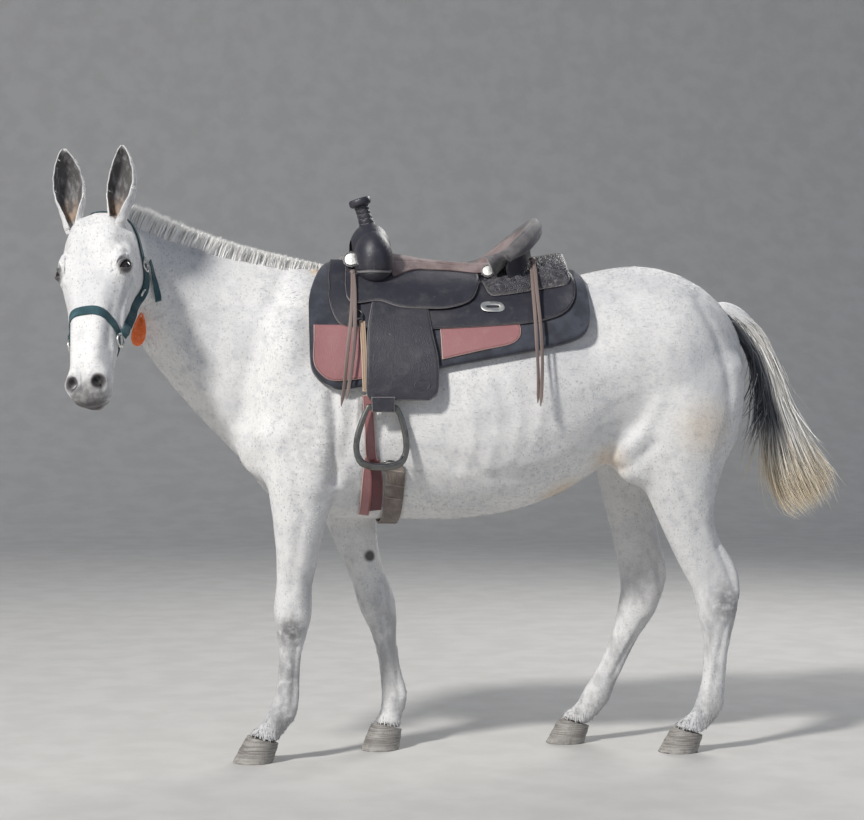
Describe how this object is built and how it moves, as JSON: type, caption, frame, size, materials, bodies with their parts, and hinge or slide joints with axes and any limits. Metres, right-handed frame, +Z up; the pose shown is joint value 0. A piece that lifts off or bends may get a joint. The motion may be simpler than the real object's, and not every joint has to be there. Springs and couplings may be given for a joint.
{
  "type": "saddled mule",
  "caption": "Standing white flea-bitten mule with its head turned, wearing a black western saddle and a teal halter.",
  "frame": {"origin": "on the ground below the centre of the whole box, hooves at z = 0", "axes": "+X towards the tail, +Y towards the mule's right side, +Z up; the body faces -X and the head turns to -Y"},
  "size_m": [2.28, 0.7794, 1.6924],
  "materials": {
    "coat": "short white flea-bitten coat",
    "ear_skin": "grey hair-lined ear",
    "hoof_horn": "dull grey-brown horn",
    "dark_eye": "wet dark eye",
    "tail_hair": "long coarse hair",
    "pad_felt": "black felt",
    "red_brown_leather": "oiled red-brown leather",
    "suede": "brown suede",
    "string_leather": "dry grey-pink leather",
    "steel": "worn bright steel",
    "mohair": "corded tan mohair",
    "halter_nylon": "woven dark teal nylon",
    "orange_tag": "flat orange plastic",
    "black_leather": "black oiled leather"
  },
  "bodies": {
    "root": {"cantle": "black_leather", "cinch": "mohair", "ear_left": "ear_skin", "ear_right": "ear_skin", "ear_tag": "orange_tag", "eye_left": "dark_eye", "eye_right": "dark_eye", "fender_left": "black_leather", "fender_right": "black_leather", "foreleg_left": "coat", "foreleg_right": "coat", "front_concho_left": "steel", "front_concho_right": "steel", "front_strings_left": "string_leather", "front_strings_right": "string_leather", "halter_crown": "halter_nylon", "halter_jaw_strap": "halter_nylon", "halter_noseband": "halter_nylon", "halter_ring_left": "steel", "halter_ring_right": "steel", "halter_strap_end": "halter_nylon", "halter_throat": "halter_nylon", "head": "coat", "hindleg_left": "coat", "hindleg_right": "coat", "hoof_fore_left": "hoof_horn", "hoof_fore_right": "hoof_horn", "hoof_hind_left": "hoof_horn", "hoof_hind_right": "hoof_horn", "latigo_left": "red_brown_leather", "latigo_right": "red_brown_leather", "neck": "coat", "rear_concho_left": "steel", "rear_concho_right": "steel", "rear_jockey": "black_leather", "rear_strings_left": "string_leather", "rear_strings_right": "string_leather", "rigging_ring_left": "steel", "rigging_ring_right": "steel", "saddle_fork": "black_leather", "saddle_horn": "black_leather", "saddle_pad": "pad_felt", "saddle_seat": "suede", "seat_jockey_left": "black_leather", "seat_jockey_right": "black_leather", "skirt_left": "black_leather", "skirt_plate_left": "steel", "skirt_plate_right": "steel", "skirt_right": "black_leather", "stirrup_keeper_left": "black_leather", "stirrup_keeper_right": "black_leather", "stirrup_left": "steel", "stirrup_right": "steel", "tail": "tail_hair", "torso": "coat", "wear_leather_front_left": "red_brown_leather", "wear_leather_front_right": "red_brown_leather", "wear_leather_rear_left": "red_brown_leather", "wear_leather_rear_right": "red_brown_leather"}
  },
  "joints": []
}
